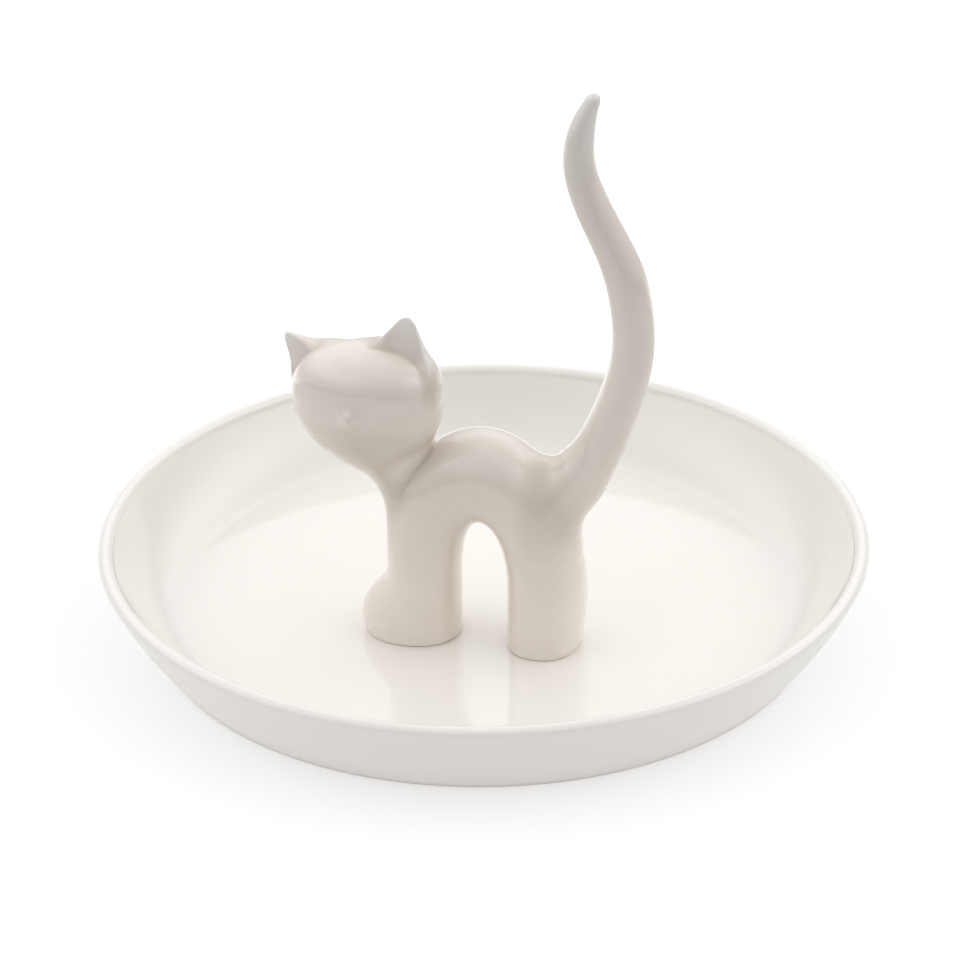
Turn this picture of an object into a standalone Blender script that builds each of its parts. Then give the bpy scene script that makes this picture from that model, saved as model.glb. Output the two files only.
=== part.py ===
"""Round white porcelain dish for jewelry, with a standing cat whose raised tail takes rings.

The cat stands on the dish floor on one front and one rear leg, joined by an arched back.
Its head looks out to the side and its tail rises in an S. The parts are cast apart, luted
together with slip and glazed as one, so each luted face follows the surface it sits on.
Metres, +Z up. The origin is on the table under the dish's axis, and the cat walks along -X.
"""

import math

import bmesh
import bpy
from mathutils import Matrix, Vector

MM = 0.001

# Room between two luted parts, and the distance at which points of one mesh are one point
JOINT_GAP = 0.3 * MM
MERGE_DISTANCE = 0.01 * MM

# Dish
RIM_DIAMETER = 140.0 * MM
DISH_HEIGHT = 17.2 * MM
BASE_DIAMETER = 120.8 * MM
LIP_THICKNESS = 2.7 * MM
FLOOR_THICKNESS = 3.0 * MM
FLOOR_EDGE_SETBACK = 5.4 * MM
FOOT_RING_HEIGHT = 1.0 * MM
FOOT_RING_WIDTH = 4.0 * MM
FOOT_RING_ROUNDING = 0.6 * MM
WALL_SWELL = 0.7 * MM

# Where the middle of the cat's arch stands on the dish floor
CAT_FORWARD = 3.5 * MM
CAT_SIDE = -13.6 * MM

# Cat body: two legs and the back that joins them, heights from the soles
ARCH_WIDTH = 8.9 * MM
ARCH_HEIGHT = 23.6 * MM
ARCH_SPRING_HEIGHT = 11.7 * MM
FRONT_LEG_WIDTH = 13.2 * MM
REAR_LEG_WIDTH = 13.5 * MM
BACK_THICKNESS = 17.1 * MM
SHOULDER_SPRING_HEIGHT = 17.7 * MM
BODY_DEPTH = 15.4 * MM
SOLE_ROUNDING = 0.5 * MM
TOE_LENGTH = 4.9 * MM
TOE_HEIGHT = 13.5 * MM
CALF_SWELL = 0.7 * MM
BODY_SQUARENESS = 2.2

# Neck: a stub on the shoulder that the head sits over
NECK_ROOT_WIDTH = 12.0 * MM
NECK_TOP_WIDTH = 14.4 * MM
NECK_LENGTH = 18.0 * MM
NECK_ENTRY = 6.5 * MM
NECK_LEAN = 21.0
NECK_SIDE_LEAN = 8.5
NECK_ROOT_ANGLE = 150.0
NECK_ROOT_SHARE = 0.66

# Head, in its own axes: width across the ears, depth from face to nape
HEAD_WIDTH = 28.2 * MM
HEAD_DEPTH = 16.6 * MM
HEAD_HEIGHT = 22.2 * MM
HEAD_TURN = 8.0
HEAD_NOD = 6.0
HEAD_TILT = 7.0
CROWN_SQUARENESS = 2.6
JAW_TAPER_SHARE = 0.05

# Ears
EAR_LEFT_WIDTH = 13.0 * MM
EAR_RIGHT_WIDTH = 9.6 * MM
EAR_LEFT_LENGTH = 10.0 * MM
EAR_RIGHT_LENGTH = 7.3 * MM
EAR_DEPTH = 5.6 * MM
EAR_SPLAY_LEFT = 14.0
EAR_SPLAY_RIGHT = 30.0

# Tail
TAIL_RISE = 79.7 * MM
TAIL_SWEEP = 15.9 * MM
TAIL_DIAMETER = 11.0 * MM
TAIL_ROOT_ANGLE = 36.0
TAIL_ROOT_SHARE = 0.7

# Fineness of the meshes
DISH_STEPS = 72
WALL_STEPS = 7
LIP_STEPS = 4
LEG_STEPS = 7
BACK_STEPS = 16
BODY_SIDES = 28
HEAD_SIDES = 32
HEAD_RINGS = 18
EAR_STEPS = 24
TAIL_STEPS = 3
TAIL_BEVEL_RESOLUTION = 6
SHARP_ANGLE = 40.0

# Glaze: warm white, wet-looking
GLAZE_COLOUR = (0.86, 0.85, 0.83)
GLAZE_ROUGHNESS = 0.12

# How far the toe reaches past the leg, from the sole up: height share, reach share
TOE_SHARES = ((0.0, 0.84), (0.107, 0.96), (0.267, 1.0), (0.489, 0.75), (0.711, 0.27),
              (0.87, 0.06), (1.0, 0.0))

# How the rear leg swells behind, from the sole up: height share, swell share
CALF_SHARES = ((0.0, -0.7), (0.1, 0.0), (0.35, 0.7), (0.65, 1.0), (1.0, 0.0))

# Outline of an ear, from its root to its tip: radius share, height share
EAR_SHARES = ((1.0, 0.0), (0.84, 0.22), (0.64, 0.46), (0.42, 0.7), (0.26, 0.87), (0.17, 0.95),
              (0.09, 0.99), (0.0, 1.0))

# Where each ear grows from the head: shares of the half width, half depth and half height
EAR_LEFT_PLACE_SHARES = (0.511, 0.24, 0.58)
EAR_RIGHT_PLACE_SHARES = (-0.752, 0.22, 0.56)

# Course of the tail from its root: sweep share, rise share, diameter share
TAIL_SHARES = ((0.0, 0.0, 0.91), (0.296, 0.058, 1.0), (0.5, 0.119, 0.87), (0.645, 0.176, 0.775),
               (0.818, 0.266, 0.715), (0.95, 0.359, 0.69), (0.988, 0.437, 0.68),
               (0.963, 0.507, 0.678), (0.88, 0.583, 0.66), (0.72, 0.658, 0.605),
               (0.54, 0.731, 0.575), (0.412, 0.8, 0.54), (0.377, 0.858, 0.505),
               (0.41, 0.91, 0.425), (0.466, 0.95, 0.33), (0.517, 0.976, 0.255),
               (0.55, 0.992, 0.165), (0.562, 1.0, 0.03))

# Worked out from the sizes above
FLOOR_TOP = FOOT_RING_HEIGHT + FLOOR_THICKNESS
FLOOR_FLAT_DIAMETER = BASE_DIAMETER - 2 * FLOOR_EDGE_SETBACK
BACK_HEIGHT = ARCH_HEIGHT + BACK_THICKNESS


def clear_scene():
    """Remove every object that the file opened with."""
    for scene_object in list(bpy.data.objects):
        bpy.data.objects.remove(scene_object)


def make_collection(name):
    """Add a collection to the scene."""
    collection = bpy.data.collections.new(name)
    bpy.context.scene.collection.children.link(collection)
    return collection


def make_material(name, colour, roughness):
    """Return a fired and glazed porcelain with the given colour."""
    material = bpy.data.materials.new(name)
    material.use_nodes = True
    shader = material.node_tree.nodes["Principled BSDF"]
    shader.inputs["Base Color"].default_value = (*colour, 1.0)
    shader.inputs["Roughness"].default_value = roughness
    shader.inputs["Metallic"].default_value = 0.0
    material.diffuse_color = (*colour, 1.0)
    return material


def add_object(name, mesh, collection, material=None):
    """Wrap a mesh in an object and link it."""
    new_object = bpy.data.objects.new(name, mesh)
    collection.objects.link(new_object)
    if material is not None:
        mesh.materials.append(material)
    return new_object


def shade_round(mesh):
    """Shade a round piece smooth, with its real edges kept sharp."""
    mesh.shade_smooth()
    mesh.set_sharp_from_angle(angle=math.radians(SHARP_ANGLE))


def mesh_from_bmesh(name, build):
    """Turn a bmesh into a mesh with its faces pointing out."""
    bmesh.ops.recalc_face_normals(build, faces=build.faces)
    mesh = bpy.data.meshes.new(name)
    build.to_mesh(mesh)
    build.free()
    shade_round(mesh)
    return mesh


def add_boolean(target, cutter, operation):
    """Cut a part with a cutter, or join the cutter to it, and hide the cutter."""
    modifier = target.modifiers.new(f"{operation.title()} {cutter.name}", "BOOLEAN")
    modifier.operation = operation
    modifier.solver = "EXACT"
    modifier.object = cutter
    cutter.hide_render = True
    cutter.display_type = "WIRE"


def add_screw(turned, steps):
    """Turn a profile about its own Z axis."""
    screw = turned.modifiers.new("Turned", "SCREW")
    screw.axis = "Z"
    screw.angle = math.tau
    screw.steps = steps
    screw.render_steps = steps
    screw.use_merge_vertices = True
    screw.merge_threshold = MERGE_DISTANCE
    screw.use_smooth_shade = True


def profile_mesh(name, points):
    """Make a mesh of one open outline in the XZ plane."""
    mesh = bpy.data.meshes.new(name)
    edges = [(i, i + 1) for i in range(len(points) - 1)]
    mesh.from_pydata([(x, 0.0, z) for x, z in points], edges, [])
    return mesh


def read_shares(table, position):
    """Read a table of (position share, value share), with a straight run between its rows."""
    for (start, low), (end, high) in zip(table, table[1:]):
        if position <= end:
            part = max(0.0, (position - start) / (end - start))
            return low + (high - low) * part
    return table[-1][1]


def dish_profile():
    """Outline of the dish: along the floor, up the inside, over the lip, down and under."""
    rim = RIM_DIAMETER / 2
    base = BASE_DIAMETER / 2
    lip = LIP_THICKNESS / 2
    flat = FLOOR_FLAT_DIAMETER / 2
    lip_height = DISH_HEIGHT - lip
    inner_reach = rim - LIP_THICKNESS - flat
    points = [(0.0, FLOOR_TOP)]
    for step in range(WALL_STEPS + 1):
        share = step / WALL_STEPS
        points.append((flat + inner_reach * share,
                       FLOOR_TOP + (lip_height - FLOOR_TOP) * share ** 2))
    for step in range(1, LIP_STEPS + 1):
        angle = math.pi * step / LIP_STEPS
        points.append((rim - lip - lip * math.cos(angle), lip_height + lip * math.sin(angle)))
    for step in range(1, WALL_STEPS):
        share = 1.0 - step / WALL_STEPS
        height = FOOT_RING_ROUNDING + (lip_height - FOOT_RING_ROUNDING) * share
        swell = WALL_SWELL * 4.0 * share * (1.0 - share)
        points.append((base + (rim - base) * share + swell, height))
    points.append((base, FOOT_RING_ROUNDING))
    points.append((base - FOOT_RING_ROUNDING, 0.0))
    points.append((base - FOOT_RING_WIDTH, 0.0))
    points.append((base - FOOT_RING_WIDTH - FOOT_RING_ROUNDING, FOOT_RING_HEIGHT))
    points.append((0.0, FOOT_RING_HEIGHT))
    return points


def make_dish(collection, material):
    """The dish: one turned piece that stands on its foot ring."""
    dish = add_object("dish", profile_mesh("dish", dish_profile()), collection, material)
    add_screw(dish, DISH_STEPS)
    return dish


def body_outline(angle):
    """Inner and outer point of the arched back at an angle from the tail end, from the soles."""
    inner_x = ARCH_WIDTH / 2
    front_x = inner_x + FRONT_LEG_WIDTH
    rear_x = inner_x + REAR_LEG_WIDTH
    outer_x = rear_x if math.cos(angle) > 0.0 else front_x
    inner = Vector((inner_x * math.cos(angle), 0.0, ARCH_SPRING_HEIGHT
                    + (ARCH_HEIGHT - ARCH_SPRING_HEIGHT) * math.sin(angle)))
    outer = Vector((outer_x * math.cos(angle), 0.0, SHOULDER_SPRING_HEIGHT
                    + (BACK_HEIGHT - SHOULDER_SPRING_HEIGHT) * math.sin(angle)))
    return inner, outer


def leg_outline(share, front):
    """Inner and outer point of a leg at a share of its height, with its toe or calf."""
    angle = math.pi if front else 0.0
    inner, outer = body_outline(angle)
    way = -1.0 if front else 1.0
    inner.z *= share
    outer.z *= share
    if front:
        outer.x += way * TOE_LENGTH * read_shares(TOE_SHARES, outer.z / TOE_HEIGHT)
    else:
        outer.x += way * CALF_SWELL * read_shares(CALF_SHARES, share)
    return inner, outer


def body_stations():
    """Stations along the body from the front sole over the back to the rear sole."""
    sole_share = SOLE_ROUNDING / SHOULDER_SPRING_HEIGHT
    shares = [0.0] + [sole_share + (1.0 - sole_share) * i / LEG_STEPS for i in range(LEG_STEPS)]
    front = [leg_outline(share, True) for share in shares]
    rear = [leg_outline(share, False) for share in reversed(shares)]
    back = [body_outline(math.pi * (1.0 - i / BACK_STEPS)) for i in range(BACK_STEPS + 1)]
    return front + back + rear


def body_mesh(name, grow):
    """Loft the body through rounded sections, each larger by grow on every side."""
    build = bmesh.new()
    rings = []
    stations = body_stations()
    for number, (inner, outer) in enumerate(stations):
        is_sole = number in (0, len(stations) - 1)
        round_off = SOLE_ROUNDING if is_sole else 0.0
        centre = (inner + outer) / 2
        across = (outer - inner) / 2
        width = across.length + grow - round_off
        depth = BODY_DEPTH / 2 + grow - round_off
        if is_sole:
            centre.z -= grow
        ring = []
        for side in range(BODY_SIDES):
            angle = math.tau * side / BODY_SIDES
            cosine, sine = math.cos(angle), math.sin(angle)
            reach = (abs(cosine) ** BODY_SQUARENESS + abs(sine) ** BODY_SQUARENESS)
            reach = reach ** (-1.0 / BODY_SQUARENESS)
            point = centre + across.normalized() * (width * reach * cosine)
            point.y += depth * reach * sine
            ring.append(build.verts.new(point))
        rings.append(ring)
    for ring, following in zip(rings, rings[1:]):
        for side in range(BODY_SIDES):
            after = (side + 1) % BODY_SIDES
            build.faces.new((ring[side], ring[after], following[after], following[side]))
    build.faces.new(rings[0])
    build.faces.new(rings[-1])
    return mesh_from_bmesh(name, build)


def neck_direction():
    """Unit vector up the neck, leaning forward and to the side that the cat looks to."""
    lean = Matrix.Rotation(math.radians(-NECK_LEAN), 3, "Y")
    side_lean = Matrix.Rotation(math.radians(NECK_SIDE_LEAN), 3, "X")
    return side_lean @ lean @ Vector((0.0, 0.0, 1.0))


def neck_root():
    """Where the neck's axis starts, inside the shoulder above the front leg."""
    inner, outer = body_outline(math.radians(NECK_ROOT_ANGLE))
    return inner.lerp(outer, NECK_ROOT_SHARE)


def neck_mesh(name, grow):
    """The neck: a stub that widens upward, larger by grow on every side and at its top."""
    build = bmesh.new()
    length = NECK_LENGTH + grow
    bmesh.ops.create_cone(build, cap_ends=True, segments=BODY_SIDES,
                          radius1=NECK_ROOT_WIDTH / 2 + grow,
                          radius2=NECK_TOP_WIDTH / 2 + grow, depth=length)
    bmesh.ops.translate(build, verts=build.verts, vec=(0.0, 0.0, length / 2))
    turn = Vector((0.0, 0.0, 1.0)).rotation_difference(neck_direction()).to_matrix()
    bmesh.ops.rotate(build, verts=build.verts, cent=(0.0, 0.0, 0.0), matrix=turn)
    bmesh.ops.translate(build, verts=build.verts, vec=neck_root())
    return mesh_from_bmesh(name, build)


def head_rotation():
    """The head's axes: turned to the side, nodding, and tilted toward the front leg."""
    return (Matrix.Rotation(math.radians(-HEAD_TURN), 3, "Z")
            @ Matrix.Rotation(math.radians(HEAD_NOD), 3, "X")
            @ Matrix.Rotation(math.radians(-HEAD_TILT), 3, "Y"))


def head_mesh(name, grow):
    """The head: a ball with a flatter crown and a narrower jaw, larger by grow all round."""
    build = bmesh.new()
    bmesh.ops.create_uvsphere(build, u_segments=HEAD_SIDES, v_segments=HEAD_RINGS, radius=1.0)
    for vertex in build.verts:
        height = min(1.0, max(-1.0, vertex.co.z))
        round_radius = math.sqrt(1.0 - height ** 2)
        if height > 0.0:
            radius = (1.0 - height ** CROWN_SQUARENESS) ** (1.0 / CROWN_SQUARENESS)
        else:
            radius = round_radius * (1.0 - JAW_TAPER_SHARE * height ** 2)
        spread = radius / round_radius if round_radius > 0.0 else 1.0
        vertex.co.x *= spread * (HEAD_WIDTH / 2 + grow)
        vertex.co.y *= spread * (HEAD_DEPTH / 2 + grow)
        vertex.co.z *= HEAD_HEIGHT / 2 + grow
    return mesh_from_bmesh(name, build)


def make_ear(name, place_shares, width, length, splay, head, head_clearance, collection, material):
    """An ear: a flattened, turned cone that leans outward and is luted to the crown."""
    outline = [(radius, height) for radius, height in reversed(EAR_SHARES)]
    outline.append((0.0, 0.0))
    ear = add_object(name, profile_mesh(name, outline), collection, material)
    add_screw(ear, EAR_STEPS)
    place_x, place_y, place_z = place_shares
    ear.parent = head
    ear.location = (HEAD_WIDTH / 2 * place_x, HEAD_DEPTH / 2 * place_y,
                    HEAD_HEIGHT / 2 * place_z)
    ear.rotation_euler = (0.0, math.radians(splay), 0.0)
    ear.scale = (width / 2, EAR_DEPTH / 2, length)
    add_boolean(ear, head_clearance, "DIFFERENCE")
    return ear


def smooth_course(rows, steps):
    """Points along a smooth curve through the rows, with steps points from row to row."""
    course = []
    last = len(rows) - 1
    for number in range(last):
        before = rows[max(number - 1, 0)]
        start, end = rows[number], rows[number + 1]
        after = rows[min(number + 2, last)]
        for step in range(steps):
            t = step / steps
            course.append(tuple(
                0.5 * (2 * b + (c - a) * t + (2 * a - 5 * b + 4 * c - d) * t ** 2
                       + (3 * b - a - 3 * c + d) * t ** 3)
                for a, b, c, d in zip(before, start, end, after)))
    course.append(rows[last])
    return course


def make_tail(cat, body_clearance, collection, material):
    """The tail: a tapering tube along an S, luted to the rump."""
    inner, outer = body_outline(math.radians(TAIL_ROOT_ANGLE))
    root = inner.lerp(outer, TAIL_ROOT_SHARE)
    course = smooth_course(TAIL_SHARES, TAIL_STEPS)
    curve = bpy.data.curves.new("tail", "CURVE")
    curve.dimensions = "3D"
    curve.bevel_depth = TAIL_DIAMETER / 2
    curve.bevel_resolution = TAIL_BEVEL_RESOLUTION
    curve.use_fill_caps = True
    spline = curve.splines.new("POLY")
    spline.points.add(len(course) - 1)
    for point, (sweep, rise, thickness) in zip(spline.points, course):
        point.co = (root.x + sweep * TAIL_SWEEP, 0.0, root.z + rise * TAIL_RISE, 1.0)
        point.radius = thickness
    guide = bpy.data.objects.new("tail_course", curve)
    collection.objects.link(guide)
    guide.parent = cat
    bpy.context.view_layer.update()
    evaluated = guide.evaluated_get(bpy.context.evaluated_depsgraph_get())
    build = bmesh.new()
    build.from_mesh(bpy.data.meshes.new_from_object(evaluated))
    bmesh.ops.remove_doubles(build, verts=build.verts, dist=MERGE_DISTANCE)
    tail = add_object("tail", mesh_from_bmesh("tail", build), collection, material)
    tail.parent = cat
    bpy.data.objects.remove(guide)
    add_boolean(tail, body_clearance, "DIFFERENCE")
    return tail


def main():
    """Build the dish and the cat."""
    clear_scene()
    parts = make_collection("jewelry_holder")
    cutters = make_collection("cutters")
    glaze = make_material("white_glazed_porcelain", GLAZE_COLOUR, GLAZE_ROUGHNESS)
    make_dish(parts, glaze)

    cat = bpy.data.objects.new("cat", None)
    parts.objects.link(cat)
    cat.location = (CAT_FORWARD, CAT_SIDE, FLOOR_TOP + JOINT_GAP)

    neck = add_object("neck", neck_mesh("neck", 0.0), cutters)
    body_clearance = add_object("body_clearance", body_mesh("body_clearance", JOINT_GAP), cutters)
    neck_clearance = add_object("neck_clearance", neck_mesh("neck_clearance", JOINT_GAP), cutters)
    body = add_object("cat_body", body_mesh("cat_body", 0.0), parts, glaze)
    for piece in (neck, body_clearance, neck_clearance, body):
        piece.parent = cat
    add_boolean(body, neck, "UNION")

    head = add_object("cat_head", head_mesh("cat_head", 0.0), parts, glaze)
    head_clearance = add_object("head_clearance", head_mesh("head_clearance", JOINT_GAP), cutters)
    reach = NECK_LENGTH + HEAD_HEIGHT / 2 - NECK_ENTRY
    head.parent = cat
    head.location = neck_root() + neck_direction() * reach
    head.rotation_euler = head_rotation().to_euler()
    head_clearance.parent = head
    add_boolean(head, neck_clearance, "DIFFERENCE")
    add_boolean(head, body_clearance, "DIFFERENCE")

    make_ear("ear_left", EAR_LEFT_PLACE_SHARES, EAR_LEFT_WIDTH, EAR_LEFT_LENGTH,
             EAR_SPLAY_LEFT, head, head_clearance, parts, glaze)
    make_ear("ear_right", EAR_RIGHT_PLACE_SHARES, EAR_RIGHT_WIDTH, EAR_RIGHT_LENGTH,
             -EAR_SPLAY_RIGHT, head, head_clearance, parts, glaze)
    make_tail(cat, body_clearance, parts, glaze)
    bpy.context.view_layer.update()


main()
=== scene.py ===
"""Jewelry holder: a round dish of white glazed porcelain, with a cat whose tail takes rings.

The cat is one fired piece in the real object, so each of its parts is worked out as a signed
distance, and every part's skin is lifted along its own normal until it flows into its neighbours.
Metres, +Z up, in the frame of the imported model.
"""

import math

import bpy
import numpy as np
from bpy.props import FloatProperty, FloatVectorProperty, PointerProperty
from bpy.types import Operator, Panel, PropertyGroup
from mathutils import Matrix, Vector


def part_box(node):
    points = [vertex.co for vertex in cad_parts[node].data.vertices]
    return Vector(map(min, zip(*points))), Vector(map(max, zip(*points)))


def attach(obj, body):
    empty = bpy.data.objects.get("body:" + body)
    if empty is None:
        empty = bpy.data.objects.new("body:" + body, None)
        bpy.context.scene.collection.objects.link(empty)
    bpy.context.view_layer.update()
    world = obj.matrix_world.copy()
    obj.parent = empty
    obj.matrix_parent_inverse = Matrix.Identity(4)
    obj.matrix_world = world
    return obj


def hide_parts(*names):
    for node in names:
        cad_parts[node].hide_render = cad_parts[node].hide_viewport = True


bl_info = {
    "name": "Porcelain Jewelry Holder",
    "version": (1, 0, 0),
    "blender": (4, 5, 0),
    "location": "3D View > Sidebar > Jewelry Holder",
    "description": "Builds a glazed porcelain dish with a standing cat, and a studio round it",
    "category": "Add Mesh",
}

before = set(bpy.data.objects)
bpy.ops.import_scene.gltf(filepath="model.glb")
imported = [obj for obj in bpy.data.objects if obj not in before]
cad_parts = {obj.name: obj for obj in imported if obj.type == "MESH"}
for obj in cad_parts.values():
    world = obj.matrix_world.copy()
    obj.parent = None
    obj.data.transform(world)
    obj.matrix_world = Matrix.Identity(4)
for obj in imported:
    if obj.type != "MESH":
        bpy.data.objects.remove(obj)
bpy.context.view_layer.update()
DISH_LOW, DISH_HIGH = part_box("dish")
TAIL_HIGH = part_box("tail")[1]

MM = 0.001
WHITE = (1.0, 1.0, 1.0, 1.0)

# Fineness of the surfaces: columns go round a piece, rows go along it
DISH_COLUMNS = 320
FLOOR_ROWS = 24
WALL_ROWS = 48
LIP_ROWS = 24
HEEL_ROWS = 8
UNDER_ROWS = 20
BODY_COLUMNS = 160
BODY_ROWS = 300
SOLE_ROWS = 7
NECK_COLUMNS = 144
NECK_ROWS = 110
HEAD_COLUMNS = 224
HEAD_ROWS = 150
EAR_COLUMNS = 128
EAR_ROWS = 120
EAR_END_ROWS = 31
TAIL_COLUMNS = 104
TAIL_ROWS = 340
TAIL_END_ROWS = 14

# Steps of the searches by halving and of a share curve, and balls that make the tail, in all
# and in its lower part
SETTLE_STEPS = 22
STATION_STEPS = 20
CURVE_STEPS = 400
TAIL_BALLS = 400
TAIL_LOW_BALLS = 110

# Edge of a sole: its radius, the gap to the floor that it closes, and how far up it does so
SOLE_ROUND = 0.5 * MM
SOLE_GAP = 0.3 * MM
SOLE_REACH = 3.0 * MM

# How the floor's rings are spaced: under 1 they lie closer toward its edge
FLOOR_SPACING = 0.8

# Radius of the foot ring's edges, and between which heights the bare foot goes into the glaze
HEEL_ROUND = 0.6 * MM
BARE_LIMITS = (0.35 * MM, 0.6 * MM)

# How much whiter the glaze is on the dish than on the cat, from 0 to 1, which is painted light
# for one glaze lit and in shade, and how far from the lip's middle it goes over to its whitest,
# in radii of the lip, where the glaze draws off and a highlight is painted
DISH_PAINTED_LIGHT_SHARE = 0.85
LIP_THIN_AND_HIGHLIGHT_LIMITS = (3.0, 1.0)

# How far the toe reaches past the leg, from the sole up: height share, reach share
TOE_SHARES = ((0.0, 0.84), (0.107, 0.96), (0.267, 1.0), (0.489, 0.75), (0.711, 0.27),
              (0.87, 0.06), (1.0, 0.0))

# How the rear leg swells behind, from the sole up: height share, swell share
CALF_SHARES = ((0.0, -0.7), (0.1, 0.0), (0.35, 0.7), (0.65, 1.0), (1.0, 0.0))

# Stations between which a point's own station is sought
STATION_LIMITS = (0.3, 2.7)

# Where the neck and the tail grow from the body: station, and share from its inner to outer edge
NECK_STATION = 1.122
NECK_SHARE = 0.82
TAIL_STATION = 1.8
TAIL_SHARE = 0.7

# Between which shares of its length the neck is drawn out to the nape
NAPE_LIMITS = (0.1, 0.95)

# How much the head draws in toward the jaw
JAW_TAPER_SHARE = 0.05

# How square the head is at the jaw, how much more so over the crown, between which angles of
# rise it becomes so, and how much more so over the face
JAW_SQUARENESS = 2.1
CROWN_SQUARENESS = 0.5
CROWN_ANGLES = (-0.2, 1.0)
FACE_SQUARENESS = 0.7

# Ways from the head's middle to the nose and the muzzle, and the angle that each spreads over
NOSE_WAY = (0.06, -1.0, 0.32)
NOSE_SPREAD = 0.16
MUZZLE_WAY = (-0.05, -1.0, -0.2)
MUZZLE_SPREAD = 0.6

# Outline of an ear from its root to its tip: height share, width share
EAR_SHARES = ((0.0, 1.0), (0.15, 0.93), (0.3, 0.8), (0.45, 0.625), (0.6, 0.48), (0.75, 0.35),
              (0.87, 0.25))

# How deep an ear's root goes, and how far down and up the distance to the ear follows it
EAR_ROOT_SHARE = 0.5
EAR_FOOT_SHARE = 0.7 * EAR_ROOT_SHARE
EAR_TOP_SHARE = 0.9

# Share of an ear's length in which the rings draw close to the tip
EAR_TIP_SHARE = 0.16

# How square an ear's section is behind, how much more so before, and where it becomes so
EAR_SQUARENESS = 2.1
EAR_FLATNESS = 2.9
EAR_FRONT_LIMITS = (0.1, -0.6)

# Where each ear grows from the head: shares of the half width, half depth and half height
EAR_LEFT_PLACE_SHARES = (0.46, 0.24, 0.58)
EAR_RIGHT_PLACE_SHARES = (-0.70, 0.22, 0.56)

# Where one softness of a seam goes over into the next: by how far the way out from the neck's
# axis points forward, then by shares of the head's half sizes, then by the place along the body
THROAT_LIMITS = (-0.75, 0.2)
BEHIND_EAR_LIMITS = (-0.1, 0.55)
LEFT_OF_HEAD_LIMITS = (0.74, 0.95)
RIGHT_OF_HEAD_LIMITS = (0.9, 1.1)
CROWN_LIMITS = (-0.2, 0.35)
RUMP_LIMITS = (4.0 * MM, 10.0 * MM)

# Most that a skin is lifted and how far the painted crease shade reaches, in radii of the seam's
# softness, and how strong the painted crease shade is
LIFT_LIMIT = 0.7
CREASE_SHADE_REACH = 1.6
CREASE_SHADE_STRENGTH = 2.0

# Between which shares the glaze draws off: up the tail and to an ear's tip; then where the painted
# highlight on an ear's outer side rises from its root, and how far round that side it reaches
TAIL_THIN_LIMITS = (0.6, 1.0)
EAR_TIP_THIN_LIMITS = (0.55, 1.0)
EAR_SIDE_HIGHLIGHT_RISE_LIMITS = (0.0, 0.45)
EAR_SIDE_HIGHLIGHT_LIMITS = (0.5, 1.0)

# The glaze's clouds, grain and waves: how many to a metre, detail, roughness
CLOUD_NOISE = (55.0, 3.0, 0.55)
GRAIN_NOISE = (620.0, 2.0, 0.5)
WAVE_NOISE = (170.0, 1.0, 0.4)

# What the clouds and the grain do to the glaze's tone and roughness, and the grain to its height
CLOUD_LIMITS, CLOUD_TONE, CLOUD_ROUGHNESS = (0.3, 0.7), 0.14, 0.06
GRAIN_LIMITS, GRAIN_TONE, GRAIN_ROUGHNESS = (0.35, 0.65), 0.06, 0.02
GRAIN_HEIGHT = 0.04

# How far the glaze in a crease goes over to the darker tone, which is painted crease shade where
# the glaze also pools, and how much rougher the foot is
POOLED_AND_CREASE_SHADE_SHARE = 0.8
BARE_ROUGHNESS = 0.6
COAT_ROUGHNESS = 0.05
GLASS_IOR = 1.5

# The studio floor: radii of its rings in metres, where its looks change in glow radii, and how
# white it is to reflections behind the dish
STUDIO_RADII = (0.0, 0.1, 0.3, 1.0, 3.0, 9.0)
STUDIO_COLUMNS = 96
FLOOR_MATT_LIMITS = (1.0, 3.0)
FLOOR_GLOW_LIMITS = (0.3, 1.0)
FLOOR_WHITE_LIMITS = (0.4, 0.7)
FLOOR_BEHIND_LIMITS = (0.3, 0.6)
FLOOR_BEHIND_WHITE = 0.7

# Between which heights of a direction the studio's light goes from low to high to overhead
HIGH_LIMITS = (0.15, 0.55)
OVERHEAD_LIMITS = (0.6, 0.9)

# Nearest and farthest that the camera sees, in metres
CAMERA_REACH = (0.05, 30.0)

# Course of the tail from its root: sweep share, rise share, diameter share
TAIL_SHARES = ((0.0, 0.0, 0.91), (0.296, 0.058, 1.0), (0.5, 0.119, 0.87), (0.645, 0.176, 0.775),
               (0.818, 0.266, 0.715), (0.95, 0.359, 0.69), (0.988, 0.437, 0.68),
               (0.963, 0.507, 0.678), (0.88, 0.583, 0.66), (0.72, 0.658, 0.605),
               (0.54, 0.731, 0.575), (0.412, 0.8, 0.54), (0.377, 0.858, 0.505),
               (0.41, 0.91, 0.425), (0.466, 0.95, 0.33), (0.517, 0.976, 0.255))


def length(name, description, default):
    """A size in metres that the user can change."""
    return FloatProperty(name=name, description=description, default=default, min=0.0,
                         subtype="DISTANCE", unit="LENGTH", precision=5)


def degrees(name, description, default):
    """An angle that the user can change, given in degrees and kept in radians."""
    return FloatProperty(name=name, description=description, default=math.radians(default),
                         subtype="ANGLE", unit="ROTATION")


def number(name, description, default, low=0.0, high=100.0):
    """A plain number that the user can change."""
    return FloatProperty(name=name, description=description, default=default, min=low, max=high)


def brightness(height, side, default):
    """The brightness of one side of the studio, high up or low down."""
    return number(f"{height}, {side}", f"Brightness of the studio {height.lower()} {side}", default)


def colour(name, description, default):
    """A colour that the user can change."""
    return FloatVectorProperty(name=name, description=description, default=default, size=3,
                               subtype="COLOR", min=0.0, max=1.0)


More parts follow.
